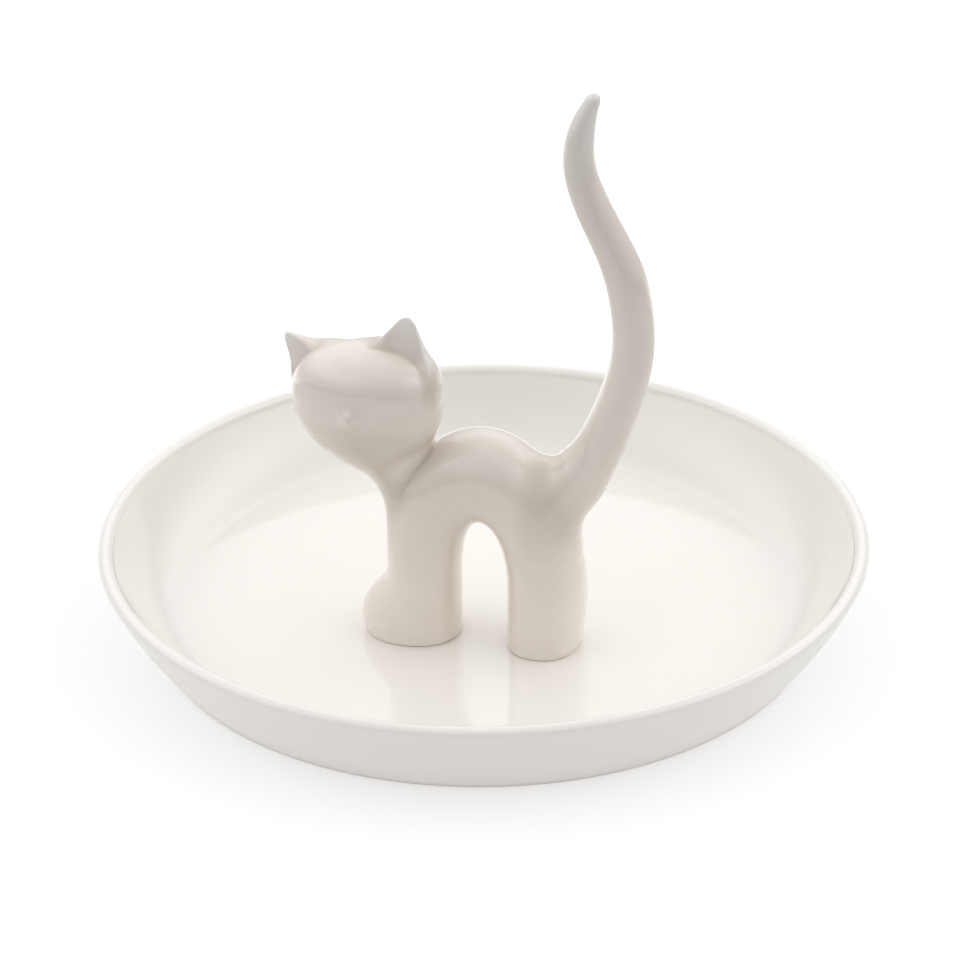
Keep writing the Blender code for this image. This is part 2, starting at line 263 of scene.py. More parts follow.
class HolderDishSettings(PropertyGroup):
    """Sizes of the turned dish."""

    rim: length("Rim diameter", "Across the lip, outside", DISH_HIGH.x - DISH_LOW.x)
    height: length("Height", "From the table to the top of the lip", DISH_HIGH.z)
    base: length("Base diameter", "Across the foot ring, outside", 120.8 * MM)
    flat: length("Flat floor diameter", "Across the flat part of the floor", 110.0 * MM)
    lip: length("Lip thickness", "Thickness of the wall at the lip", 2.7 * MM)
    floor: length("Floor thickness", "Thickness of the floor over the foot ring", 3.0 * MM)
    foot: length("Foot ring height", "How far the foot ring stands out", 1.0 * MM)
    foot_width: length("Foot ring width", "Width of the band that the dish stands on", 4.0 * MM)
    swell: length("Wall swell", "How far the outer wall bellies out", 0.7 * MM)


class HolderCatSettings(PropertyGroup):
    """Sizes of the cat, with its heights from the soles."""

    forward: length("Place along", "Middle of the arch from the axis of the dish", 3.5 * MM)
    aside: length("Place in front", "How far the cat stands before the axis", 13.6 * MM)
    sole: length("Sole height", "Height of the cat's own origin over the table", 4.3 * MM)
    arch_width: length("Arch width", "Opening between the legs", 8.9 * MM)
    arch_height: length("Arch height", "Top of the opening", 23.6 * MM)
    arch_spring: length("Arch spring", "Where the arch begins to curve", 11.7 * MM)
    front_leg: length("Front leg width", "Seen from the side", 13.2 * MM)
    rear_leg: length("Rear leg width", "Seen from the side", 13.5 * MM)
    back: length("Back thickness", "Over the top of the arch", 17.1 * MM)
    shoulder: length("Shoulder spring", "Where the back begins to curve", 17.7 * MM)
    depth: length("Body depth", "From flank to flank", 15.4 * MM)
    toe: length("Toe length", "How far the front toe reaches out", 4.9 * MM)
    toe_height: length("Toe height", "Where the toe runs out into the leg", 13.5 * MM)
    calf: length("Calf swell", "How far the rear leg swells behind", 0.7 * MM)
    squareness: number("Body squareness", "2 is an oval section, more is squarer", 2.2, 2.0, 6.0)
    rump_drop: number("Rump drop", "Share by which the back falls off to the rump", 0.03, 0, 0.2)
    neck_root: length("Neck width at its root", "Diameter inside the shoulder", 4.0 * MM)
    neck_top: length("Neck width at its top", "Diameter inside the head", 14.4 * MM)
    nape: length("Nape", "How far the neck's top is drawn out toward the nape", 4.6 * MM)
    neck_length: length("Neck length", "Along the neck's own axis", 18.0 * MM)
    neck_entry: length("Neck entry", "How far the neck reaches into the head", 6.5 * MM)
    neck_lean: degrees("Neck lean", "Forward lean of the neck", 15.2)
    neck_side: degrees("Neck side lean", "Lean to the side that the cat looks to", 8.2)
    head_width: length("Head width", "Across the cheeks", 28.0 * MM)
    head_depth: length("Head depth", "From face to nape", 16.6 * MM)
    head_height: length("Head height", "From jaw to crown", 22.2 * MM)
    jaw_set: length("Jaw set", "How far the jaw is set toward the front leg", 1.1 * MM)
    head_turn: degrees("Head turn", "Turn about the upright", 8.0)
    head_nod: degrees("Head nod", "Nod toward the side that the cat looks to", 6.0)
    head_tilt: degrees("Head tilt", "Tilt toward the front leg", 5.0)
    ear_left_width: length("Left ear width", "At its root", 14.4 * MM)
    ear_left_length: length("Left ear length", "From root to tip", 10.8 * MM)
    ear_left_splay: degrees("Left ear splay", "Outward lean", 16.0)
    ear_right_width: length("Right ear width", "At its root", 9.6 * MM)
    ear_right_length: length("Right ear length", "From root to tip", 7.4 * MM)
    ear_right_splay: degrees("Right ear splay", "Outward lean", 42.0)
    ear_depth: length("Ear thickness", "From front to back at its root", 5.6 * MM)
    nose: length("Nose rise", "How far the nose stands out of the face", 1.1 * MM)
    muzzle_rise: length("Muzzle rise", "How far the lower face stands out", 1.0 * MM)
    face_nod: degrees("Face nod", "How much further than the ears the head nods", 7.0)
    tail_rise: length("Tail rise", "From its root in the rump to its tip", 79.7 * MM)
    tail_sweep: length("Tail sweep", "How far it swings out behind", 15.9 * MM)
    tail_diameter: length("Tail diameter", "At its thickest, by the rump", 11.0 * MM)
    throat_blend: length("Throat softness", "Radius of the flow from chest to head", 6.0 * MM)
    nape_blend: length("Nape softness", "Radius of the crease at the nape", 1.3 * MM)
    ear_front_blend: length("Ear crease", "Radius of the crease before an ear", 0.45 * MM)
    ear_back_blend: length("Ear flare", "Radius of the flow behind an ear", 4.5 * MM)
    tail_blend: length("Tail softness", "Radius of the flow from rump to tail", 6.0 * MM)


class HolderGlazeSettings(PropertyGroup):
    """Colours and finish of the glazed porcelain."""

    # Darker and warmer than the dish's glaze: partly the glaze's own tint, partly painted shade and
    # painted warm light bounced off jewellery
    body: colour("Glazed body", "White of the glazed porcelain", (0.855, 0.79, 0.72))
    # Darker tone in creases: painted crease shade, where the glaze also pools; it is also the dark
    # end of the random mottle
    pooled_and_crease_shade: colour("Pooled glaze", "Where the glaze runs together in a crease", (0.7, 0.63, 0.55))
    # Whiter glaze: over the dish, on the lip and on the ears' outer sides it is painted light; at
    # the tail's top and the ears' tips the glaze draws off
    thinner_glaze_and_painted_light: colour("Thin glaze", "Over the dish, and where the glaze draws off an edge",
                 (0.915, 0.89, 0.85))
    bisque: colour("Bare foot", "Unglazed porcelain under the foot ring", (0.74, 0.7, 0.64))
    roughness: number("Glaze roughness", "0 is a mirror", 0.1, 0.0, 1.0)
    coat: number("Gloss", "Strength of the glassy top layer", 0.6, 0.0, 1.0)
    ripple: length("Glaze ripple", "Height of the slight waves in the glaze", 0.02 * MM)


class HolderStageSettings(PropertyGroup):
    """Camera, floor and light."""

    azimuth: degrees("Camera azimuth", "Turn of the camera round the dish", 14.0)
    elevation: degrees("Camera elevation", "Above the horizon", 27.91)
    roll: degrees("Camera roll", "Turn of the camera about its own axis", -0.626)
    distance: length("Camera distance", "From the dish's origin", 826.42 * MM)
    rise: length("Framing rise", "How far the view's middle is above the origin", 24.73 * MM)
    slide: length("Framing slide", "How far the origin is right of the view's middle", 0.82 * MM)
    lens: number("Lens", "Focal length in millimetres", 168.75, 10.0, 500.0)
    floor: colour("Floor", "Colour of the floor", (0.6, 0.6, 0.6))
    floor_glow: number("Floor glow", "Light that comes up through the white floor", 0.33)
    floor_shown: number("Floor white", "White that the floor shows the camera", 0.45)
    pool: length("Glow radius", "How far round the dish the floor lights it", 200.0 * MM)
    zenith: number("Overhead", "Brightness of the studio straight above the dish", 0.86)
    high_back: brightness("High", "behind", 1.25)
    high_front: brightness("High", "in front", 0.51)
    high_left: brightness("High", "on the left", 1.77)
    high_right: brightness("High", "on the right", 2.08)
    low_back: brightness("Low", "behind", 0.70)
    low_front: brightness("Low", "in front", 0.10)
    low_left: brightness("Low", "on the left", 0.72)
    low_right: brightness("Low", "on the right", 0.45)


def natural_spline(rows, at):
    """Smooth curve through the rows, bending as a thin batten does, read at positions in rows.

    The second slopes at the rows solve one band of equations, are zero at both ends, and each
    stretch between two rows is the cubic that they fix.
    """
    rows = np.asarray(rows, float)
    count = len(rows)
    band = 4.0 * np.eye(count) + np.eye(count, k=1) + np.eye(count, k=-1)
    pull = np.zeros_like(rows)
    pull[1:-1] = 6.0 * (rows[2:] - 2.0 * rows[1:-1] + rows[:-2])
    band[0], band[-1] = np.eye(count)[0], np.eye(count)[-1]
    bend = np.linalg.solve(band, pull)
    place = np.clip(np.asarray(at, float), 0.0, count - 1.0)
    start = np.minimum(place.astype(int), count - 2)
    after = (place - start)[..., None]
    before = 1.0 - after
    return (before * rows[start] + after * rows[start + 1]
            + ((before ** 3 - before) * bend[start] + (after ** 3 - after) * bend[start + 1]) / 6)


def share_curve(table, position):
    """Value of a share table at a position, on a smooth curve through its rows."""
    fine = natural_spline(table, np.linspace(0.0, len(table) - 1.0, CURVE_STEPS))
    return np.interp(position, fine[:, 0], fine[:, 1])


def smoothstep(low, high, value):
    """0 below low, 1 above high, and a smooth rise between them."""
    share = np.clip((value - low) / (high - low), 0.0, 1.0)
    return share * share * (3.0 - 2.0 * share)


def rotation(axis, angle):
    """Turn about one axis as a three by three array."""
    return np.array(Matrix.Rotation(angle, 3, axis))


def unit(vectors):
    """Vectors at length 1."""
    return vectors / np.maximum(np.linalg.norm(vectors, axis=-1, keepdims=True), 1e-12)


def oval_reach(cosine, sine, squareness):
    """How far a squared oval of half width 1 reaches in a direction."""
    return (np.abs(cosine) ** squareness + np.abs(sine) ** squareness) ** (-1.0 / squareness)


def round_turn(columns):
    """Angles that go once round."""
    return np.linspace(0.0, math.tau, columns, endpoint=False)


def spread_out(*parts):
    """Points from arrays of their coordinates, each spread over the rows and columns of all."""
    return np.stack(np.broadcast_arrays(*parts), -1)


def rounded(across, deep, half_width, half_depth, squareness):
    """Signed distance, near enough, to a squared oval.

    The reach is the squareness root of the sum of the two shares to that power. The distance is
    the reach less one, over the slope of the reach.
    """
    a, b = np.abs(across / half_width), np.abs(deep / half_depth)
    reach = np.maximum((a ** squareness + b ** squareness) ** (1.0 / squareness), 1e-9)
    a, b = a / reach, b / reach
    slope = np.hypot(a ** (squareness - 1.0) / half_width, b ** (squareness - 1.0) / half_depth)
    return (reach - 1.0) / np.maximum(slope, 1e-9)


class CatShape:
    """The cat's parts as signed distances, in metres from the middle of its soles."""

    def __init__(self, sizes):
        self.sizes = sizes
        lean = rotation("X", sizes.neck_side) @ rotation("Y", -sizes.neck_lean)
        self.neck_way = lean @ np.array((0.0, 0.0, 1.0))
        self.nape_way = unit(np.cross((0.0, 1.0, 0.0), self.neck_way))
        along, up = self.root(NECK_STATION, NECK_SHARE, True)
        self.neck_foot = np.array((along, 0.0, up))
        reach = sizes.neck_length + sizes.head_height / 2 - sizes.neck_entry
        self.head_middle = self.neck_foot + self.neck_way * reach
        self.ears_turn, self.head_turn = (
            rotation("Z", -sizes.head_turn) @ rotation("X", nod) @ rotation("Y", -sizes.head_tilt)
            for nod in (sizes.head_nod, sizes.head_nod + sizes.face_nod))
        self.head_half = np.array((sizes.head_width, sizes.head_depth, sizes.head_height)) / 2
        self.tail_root = self.root(TAIL_STATION, TAIL_SHARE, False)
        self.tail_balls = self.tail_line(np.linspace(0.0, 1.0, TAIL_BALLS)[:TAIL_LOW_BALLS])

    def place(self):
        """Where the cat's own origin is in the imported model's frame."""
        return np.array((self.sizes.forward, -self.sizes.aside, self.sizes.sole))

    def root(self, station, share, drop):
        """Place (x, z) at a station of the body, at a share from its inner to its outer edge."""
        inner, outer = self.outline(np.array([station]), drop)
        return (inner + share * (outer - inner))[0]

    def outline(self, station, drop=True):
        """Inner and outer edge (x, z) of the body's section at a station.

        0 to 1 climbs the front leg, 1 to 2 goes over the back on two half ovals, and 2 to 3
        comes down the rear leg. Both legs carry their toe or calf outside.
        """
        sizes = self.sizes
        angle = math.pi * np.clip(2.0 - station, 0.0, 1.0)
        share = np.clip(np.minimum(station, 3.0 - station), 0.0, 1.0)
        cosine, sine = np.cos(angle), np.sin(angle)
        half = sizes.arch_width / 2
        reach = half + np.where(cosine > 0.0, sizes.rear_leg, sizes.front_leg)
        back = sizes.arch_height + sizes.back
        inner = spread_out(half * cosine, sizes.arch_spring * share
                           + (sizes.arch_height - sizes.arch_spring) * sine)
        fall = 1.0 - sizes.rump_drop * drop * np.where(cosine > 0.0, np.sin(2.0 * angle), 0.0) ** 2
        outer = spread_out(reach * cosine * fall, sizes.shoulder * share
                           + (back - sizes.shoulder) * sine * fall)
        toe = sizes.toe * share_curve(TOE_SHARES, outer[..., 1] / sizes.toe_height)
        calf = sizes.calf * share_curve(CALF_SHARES, share)
        outer[..., 0] += np.where(station < 1.0, -toe, 0.0) + np.where(station > 2.0, calf, 0.0)
        return inner, outer

    def station(self, points):
        """Station whose section line passes through each point, found by halving."""
        low, high = (np.full(len(points), limit) for limit in STATION_LIMITS)
        for _ in range(STATION_STEPS):
            middle = (low + high) / 2
            inner, outer = self.outline(middle)
            way = outer - inner
            side = (way[:, 0] * (points[:, 2] - inner[:, 1])
                    - way[:, 1] * (points[:, 0] - inner[:, 0]))
            low = np.where(side < 0.0, middle, low)
            high = np.where(side < 0.0, high, middle)
        return (low + high) / 2

    def body(self, points):
        """Distance to the arched body: to the squared oval of the section at its station."""
        inner, outer = self.outline(self.station(points))
        half = (outer - inner) / 2
        width = np.linalg.norm(half, axis=-1)
        across = np.sum((points[:, [0, 2]] - (outer + inner) / 2) * half, axis=-1) / width
        return rounded(across, points[:, 1], width, self.sizes.depth / 2, self.sizes.squareness)

    def neck_rings(self, along):
        """Radius of the neck along its axis, and how far it is drawn out toward the nape."""
        share = np.clip(along / self.sizes.neck_length, 0.0, 1.0)
        root = self.sizes.neck_root
        drawn = self.sizes.nape * smoothstep(*NAPE_LIMITS, share)
        return (root + (self.sizes.neck_top - root) * share) / 2, drawn

    def neck(self, points):
        """Distance to a cone with round ends, drawn out sideways from the axis to the nape."""
        along = (points - self.neck_foot) @ self.neck_way
        held = np.clip(along, 0.0, self.sizes.neck_length)
        radius, drawn = self.neck_rings(along)
        off = points - self.neck_foot - held[:, None] * self.neck_way
        back = np.clip(off @ self.nape_way, 0.0, drawn)
        return np.linalg.norm(off - back[:, None] * self.nape_way, axis=-1) - radius

    def head_squareness(self, rise, side):
        """How square the head is: round at the jaw, flatter over the crown and over the face.

        The rise is an angle, and side is 1 over the ears and 0 over the face and the nape.
        """
        crown = CROWN_SQUARENESS * smoothstep(*CROWN_ANGLES, rise)
        return JAW_SQUARENESS + crown * side + FACE_SQUARENESS * (1.0 - side)

    def jaw(self, height):
        """How far the jaw draws in at a height share below the middle."""
        return 1.0 - JAW_TAPER_SHARE * np.minimum(height, 0.0) ** 2

    def muzzle(self, ways):
        """Rise of the nose and of the soft muzzle under it, by way from the head's middle."""
        sizes = self.sizes
        rise = 0.0
        for way, tall, wide in ((NOSE_WAY, sizes.nose, NOSE_SPREAD),
                                (MUZZLE_WAY, sizes.muzzle_rise, MUZZLE_SPREAD)):
            apart = np.arccos(np.clip(ways @ unit(np.array(way)), -1.0, 1.0))
            rise = rise + tall * np.exp(-(apart / wide) ** 2)
        return rise

    def head(self, points):
        """Distance to the head: a squared ball that is drawn in below, less the muzzle."""
        own = (points - self.head_middle) @ self.head_turn
        height = own[:, 2] / self.head_half[2]
        own[:, 0] += self.sizes.jaw_set * np.clip(height, -1.0, 0.0) ** 2
        girth = np.hypot(own[:, 0] / self.head_half[0], own[:, 1] / self.head_half[1])
        girth = np.maximum(girth / self.jaw(np.clip(height, -1.0, 1.0)), 1e-9)
        side = (own[:, 0] / self.head_half[0]) ** 2 / np.maximum(
            np.sum((own[:, :2] / self.head_half[:2]) ** 2, axis=-1), 1e-12)
        power = self.head_squareness(np.arctan2(height, girth), side)
        reach = (girth ** power + np.abs(height) ** power) ** (1.0 / power)
        sweep = (girth / reach) ** (power - 1.0)
        climb = (np.abs(height) / reach) ** (power - 1.0) / self.head_half[2]
        slope_x = sweep * own[:, 0] / self.head_half[0] ** 2 / girth
        slope_y = sweep * own[:, 1] / self.head_half[1] ** 2 / girth
        slope = np.sqrt(slope_x ** 2 + slope_y ** 2 + climb ** 2)
        return (reach - 1.0) / slope - self.muzzle(unit(own))

    def ear_frame(self, left):
        """Place, turn, half width and length of one ear, in the cat's frame."""
        sizes = self.sizes
        if left:
            share, splay = EAR_LEFT_PLACE_SHARES, sizes.ear_left_splay
            width, tall = sizes.ear_left_width, sizes.ear_left_length
        else:
            share, splay = EAR_RIGHT_PLACE_SHARES, -sizes.ear_right_splay
            width, tall = sizes.ear_right_width, sizes.ear_right_length
        root = self.head_middle + self.ears_turn @ (self.head_half * np.array(share))
        return root, self.ears_turn @ rotation("Y", splay), width / 2, tall

    def ear_share(self, height):
        """Width share of an ear at a height share, with a round end at the tip and the root."""
        tip, tip_width = EAR_SHARES[-1]
        slim = share_curve(EAR_SHARES, np.clip(height, 0.0, tip))
        end = tip_width * np.sqrt(np.clip(1.0 - height, 0.0, 1.0) / (1.0 - tip))
        root = np.sqrt(np.clip(1.0 - (np.minimum(height, 0.0) / EAR_ROOT_SHARE) ** 2, 0.0, 1.0))
        return np.where(height > tip, end, slim) * root

    def ear_squareness(self, front):
        """How square an ear's section is: nearly flat before, round behind."""
        return EAR_SQUARENESS + EAR_FLATNESS * smoothstep(*EAR_FRONT_LIMITS, front)

    def ear(self, points, left):
        """Distance to an ear: a cone of flattened sections with a flat front."""
        root, turn, half, tall = self.ear_frame(left)
        own = (points - root) @ turn
        share = self.ear_share(np.clip(own[:, 2] / tall, -EAR_FOOT_SHARE, EAR_TOP_SHARE))
        thick = self.sizes.ear_depth / 2
        front = own[:, 1] / thick / np.hypot(own[:, 0] / half, own[:, 1] / thick).clip(1e-6)
        flat = rounded(own[:, 0], own[:, 1], half * share, thick * share,
                       self.ear_squareness(front))
        below = np.minimum(own[:, 2] + EAR_FOOT_SHARE * tall, 0.0)
        return np.where(below < 0.0, np.hypot(np.maximum(flat, 0.0), below), flat)

    def ear_left(self, points):
        """Distance to the ear on the cat's left."""
        return self.ear(points, True)

    def ear_right(self, points):
        """Distance to the ear on the cat's right."""
        return self.ear(points, False)

    def tail_line(self, share):
        """Middle (x, z) and radius of the tail at shares of its course."""
        rows = natural_spline(TAIL_SHARES, np.asarray(share) * (len(TAIL_SHARES) - 1))
        return spread_out(self.tail_root[0] + rows[:, 0] * self.sizes.tail_sweep,
                          self.tail_root[1] + rows[:, 1] * self.sizes.tail_rise,
                          rows[:, 2] * self.sizes.tail_diameter / 2)

    def tail(self, points):
        """Distance to the tail's lower part: to the nearest of many balls along its course."""
        balls = self.tail_balls
        off = np.hypot(points[:, None, 0] - balls[:, 0], points[:, None, 2] - balls[:, 1])
        return np.min(np.hypot(off, points[:, None, 1]) - balls[:, 2], axis=1)

    def blend_radius(self, points):
        """How softly the parts flow into each other at a point.

        The flow is wide under the throat and behind the ears, and narrow at the nape and before
        the ears, where the real glaze leaves a crease.
        """
        sizes = self.sizes
        own = (points - self.head_middle) @ self.ears_turn / self.head_half
        off = points - self.neck_foot
        off = unit(off - (off @ self.neck_way)[:, None] * self.neck_way)
        front = smoothstep(*THROAT_LIMITS, -off[:, 0])
        neck = sizes.nape_blend + (sizes.throat_blend - sizes.nape_blend) * front
        rear = np.maximum(smoothstep(*BEHIND_EAR_LIMITS, own[:, 1]),
                          np.maximum(smoothstep(*LEFT_OF_HEAD_LIMITS, own[:, 0]),
                                     smoothstep(*RIGHT_OF_HEAD_LIMITS, -own[:, 0])))
        ears = sizes.ear_front_blend + (sizes.ear_back_blend - sizes.ear_front_blend) * rear
        radius = neck + (ears - neck) * smoothstep(*CROWN_LIMITS, own[:, 2])
        return radius + (sizes.tail_blend - radius) * smoothstep(*RUMP_LIMITS, points[:, 0])


def closeness(others, radius, points):
    """How close the other parts are, as the sum and the most of their cubed shares."""
    cubes = np.stack([np.maximum(1.0 - other(points) / radius, 0.0) ** 3 for other in others])
    return cubes.sum(0), cubes.max(0)


def lift(others, radius, points):
    """How far a skin stands off its own part so that it meets the others in a soft fillet.

    The skin lies where one minus its distance over the radius, cubed, and the same for the other
    parts add up to one. Past the seam it dives under the neighbour.
    """
    total, most = closeness(others, radius, points)
    own = 1.0 - total
    flow = radius * (1.0 - np.cbrt(np.maximum(own, 0.0)))
    seam = radius * (1.0 - np.cbrt(np.maximum(1.0 - total + most, 0.0) / 2))
    dive = 2.0 * seam - radius * (1.0 - np.cbrt(most))
    return np.clip(np.where(own >= most, flow, dive), 0.0, LIFT_LIMIT * radius)


def gradient(distance, points):
    """Unit vector away from a part at each point, from six readings of its distance."""
    step = 0.02 * MM
    slopes = [distance(points + way * step) - distance(points - way * step) for way in np.eye(3)]
    return unit(np.stack(slopes, -1))


def settle(cat, own, others, points):
    """Lift a part's points along its normals into the flow with its neighbours, by halving.

    Returns the points and how far each is in a crease, from 0 to 1, which the material paints
    in as crease shade.
    """
    flat = points.reshape(-1, 3).copy()
    total, _ = closeness(others, cat.blend_radius(flat), flat)
    near = total > 0.0
    start = flat[near]
    normal = gradient(own, start)
    low = np.zeros(len(start))
    high = cat.blend_radius(start)
    for _ in range(SETTLE_STEPS):
        middle = (low + high) / 2
        spot = start + normal * middle[:, None]
        short = own(spot) < lift(others, cat.blend_radius(spot), spot)
        low = np.where(short, middle, low)
        high = np.where(short, high, middle)
    flat[near] = start + normal * ((low + high) / 2)[:, None]
    # How far each point is in a crease, which the material paints in as crease shade
    crease = np.zeros(len(flat))
    reach = CREASE_SHADE_REACH * cat.blend_radius(flat[near])
    total, _ = closeness(others, reach, flat[near])
    crease[near] = np.clip(CREASE_SHADE_STRENGTH * total, 0.0, 1.0)
    return flat.reshape(points.shape), crease.reshape(points.shape[:-1])


def close_ends(values):
    """Values of a sheet in one list, with the first and last row each as its own mean."""
    return np.concatenate([values[0].mean(0, keepdims=True),
                           values[1:-1].reshape(-1, *values.shape[2:]),
                           values[-1].mean(0, keepdims=True)])


def add_piece(context, name, sheets, nodes):
    """Make one object from closed sheets and give it the place of its nodes.

    Each sheet is a grid of points with its columns wrapped round, and over the grid how much
    painted crease shade it carries, where the glaze also pools, and how far it goes over to the
    whiter glaze, which is partly painted light. The first and last row are drawn together into
    one point each, and the faces are turned outward by the sign of the volume that they enclose.
    """
    points, faces, pooled_and_crease_shade, thinner_glaze_and_painted_light = [], [], [], []
    offset = 0
    for grid, crease, edge in sheets:
        rows, columns = grid.shape[:2]
        ring = np.arange((rows - 2) * columns).reshape(rows - 2, columns) + 1
        after = np.roll(ring, -1, axis=1)
        quads = np.stack([ring[:-1], after[:-1], after[1:], ring[1:]], -1).reshape(-1, 4)
        last = (rows - 2) * columns + 1
        first_fan = np.stack([np.zeros(columns, int), after[0], ring[0]], -1)
        last_fan = np.stack([np.full(columns, last), ring[-1], after[-1]], -1)
        spots = close_ends(grid)
        corners = spots[quads]
        volume = np.sum(np.cross(corners[:, 1] - corners[:, 0], corners[:, 3] - corners[:, 0])
                        * (corners.mean(1) - spots.mean(0)))
        turned = [quads, first_fan, last_fan]
        if volume < 0.0:
            turned = [part[:, ::-1] for part in turned]
        faces += [face for part in turned for face in (part + offset).tolist()]
        points.append(spots)
        # Painted crease shade, and the whiter glaze that is partly painted light, for each point
        for values, shade in ((pooled_and_crease_shade, crease), (thinner_glaze_and_painted_light, edge)):
            values.append(close_ends(np.broadcast_to(shade, (rows, columns))))
        offset += len(spots)
    mesh = bpy.data.meshes.new(name)
    mesh.from_pydata(np.concatenate(points).tolist(), [], faces)
    for attribute, values in (("pooled_glaze_and_crease_shade", pooled_and_crease_shade), ("thin_glaze_and_painted_light", thinner_glaze_and_painted_light)):
        layer = mesh.attributes.new(attribute, "FLOAT", "POINT")
        layer.data.foreach_set("value", np.concatenate(values).astype(np.float32))
    mesh.shade_smooth()
    mesh.materials.append(porcelain(context))
    piece = bpy.data.objects.new(name, mesh)
    context.scene.collection.objects.link(piece)
    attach(piece, "root")
    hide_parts(*nodes)


def add_cat_piece(context, cat, name, sheets, nodes):
    """Move sheets from the cat's frame into the model's and make them one piece."""
    add_piece(context, name, [(grid + cat.place(), *shades) for grid, *shades in sheets], nodes)


class Value:
    """A number in a material, so that shader maths reads as plain sums."""

    def __init__(self, tree, socket):
        self.tree = tree
        self.socket = socket

    def maths(self, operation, first, second):
        """The result of one operation on two numbers, of which either can be plain."""
        node = self.tree.nodes.new("ShaderNodeMath")
        node.operation = operation
        for socket, term in zip(node.inputs, (first, second)):
            if isinstance(term, Value):
                self.tree.links.new(term.socket, socket)
            else:
                socket.default_value = term
        return Value(self.tree, node.outputs[0])

    def __add__(self, other):
        return self.maths("ADD", self, other)

    def __radd__(self, other):
        return self.maths("ADD", other, self)

    def __sub__(self, other):
        return self.maths("SUBTRACT", self, other)

    def __rsub__(self, other):
        return self.maths("SUBTRACT", other, self)

    def __mul__(self, other):
        return self.maths("MULTIPLY", self, other)

    def __rmul__(self, other):
        return self.maths("MULTIPLY", other, self)

    def __truediv__(self, other):
        return self.maths("DIVIDE", self, other)


class Shader:
    """A node tree with one method that adds any node."""

    def __init__(self, tree):
        self.tree = tree
        tree.nodes.clear()

    def node(self, kind, settings=None, **sockets):
        """Add a node, set its settings first, then the values or links of its sockets.

        A socket goes by its name, or by its place in the list as s0, s1 and so on.
        """
        made = self.tree.nodes.new(kind)
        for key, value in (settings or {}).items():
            setattr(made, key, value)
        for key, value in sockets.items():
            place = int(key[1:]) if key[1:].isdigit() else key.replace("_", " ")
            socket = made.inputs[place]
            if isinstance(value, Value):
                value = value.socket
            if isinstance(value, bpy.types.NodeSocket):
                self.tree.links.new(value, socket)
            else:
                socket.default_value = value
        return made

    def value(self, kind, output=0, settings=None, **sockets):
        """Add a node and return one of its outputs as a number."""
        return Value(self.tree, self.node(kind, settings, **sockets).outputs[output])

    def ramp(self, amount, low, high):
        """A number taken from low to high onto 0 to 1, with soft ends."""
        return self.value("ShaderNodeMapRange", 0, {"interpolation_type": "SMOOTHSTEP"},
                          Value=amount, From_Min=low, From_Max=high)

    def mix(self, factor, first, second):
        """A colour between two colours."""
        return self.node("ShaderNodeMix", {"data_type": "RGBA"}, s0=factor, s6=first,
                         s7=second).outputs[2]

    def glow(self, strength):
        """Plain white light."""
        return self.node("ShaderNodeEmission", None, Color=WHITE, Strength=strength).outputs[0]

    def blend(self, factor, first, second):
        """A surface between two surfaces, of which the first can be nothing at all."""
        links = {"s1": first} if first else {}
        return self.node("ShaderNodeMixShader", None, s0=factor, s2=second, **links).outputs[0]


def opaque(shade):
    """A colour with its alpha."""
    return (*shade, 1.0)


def porcelain(context):
    """White porcelain under a glossy glaze, bare under the foot ring.

    The glaze is darker in a crease, which is painted crease shade where the glaze also pools;
    lighter over the dish, on the lip and on the ears' outer sides, which is painted light, and
    where it draws off an edge; and uneven by a hair over the whole surface, in colour, in gloss
    and in height.
    """
    name = "porcelain_glaze"
    if name in bpy.data.materials:
        return bpy.data.materials[name]
    glaze = context.scene.holder_glaze
    material = bpy.data.materials.new(name)
    material.use_nodes = True
    shader = Shader(material.node_tree)
    place = shader.node("ShaderNodeTexCoord").outputs["Object"]
    cloud, grain, wave = (
        shader.value("ShaderNodeTexNoise", 0, Vector=place, Scale=scale, Detail=detail,
                     Roughness=roughness)
        for scale, detail, roughness in (CLOUD_NOISE, GRAIN_NOISE, WAVE_NOISE))
    pooled_and_crease_shade, thinner_glaze_and_painted_light = (shader.value("ShaderNodeAttribute", 2, {"attribute_name": attribute})
                    for attribute in ("pooled_glaze_and_crease_shade", "thin_glaze_and_painted_light"))
    height = shader.value("ShaderNodeSeparateXYZ", 2, Vector=place)
    bare = 1.0 - shader.ramp(height, *BARE_LIMITS)

    mottle = (shader.ramp(cloud, *CLOUD_LIMITS) * CLOUD_TONE
              + shader.ramp(grain, *GRAIN_LIMITS) * GRAIN_TONE)
    tone = shader.mix(mottle, opaque(glaze.body), opaque(glaze.pooled_and_crease_shade))
    # Painted crease shade, where the glaze also pools
    tone = shader.mix(pooled_and_crease_shade * POOLED_AND_CREASE_SHADE_SHARE, tone, opaque(glaze.pooled_and_crease_shade))
    # Whiter glaze: painted light over the dish, the lip and the ears' outer sides, and glaze drawn
    # off at the tips
    tone = shader.mix(thinner_glaze_and_painted_light, tone, opaque(glaze.thinner_glaze_and_painted_light))
    tone = shader.mix(bare, tone, opaque(glaze.bisque))

    rough = (cloud - 0.5) * CLOUD_ROUGHNESS + (grain - 0.5) * GRAIN_ROUGHNESS + glaze.roughness
    rough = rough + bare * BARE_ROUGHNESS
    waves = wave * glaze.ripple + grain * (glaze.ripple * GRAIN_HEIGHT)
    bump = shader.node("ShaderNodeBump", None, Strength=1.0, Distance=1.0, Height=waves)
    gloss = (1.0 - bare) * glaze.coat
    surface = shader.node("ShaderNodeBsdfPrincipled", None, Base_Color=tone, Roughness=rough,
                          Coat_Weight=gloss, Coat_Roughness=COAT_ROUGHNESS, IOR=GLASS_IOR,
                          Coat_IOR=GLASS_IOR, Normal=bump.outputs[0])
    shader.node("ShaderNodeOutputMaterial", None, Surface=surface.outputs[0])
    return material


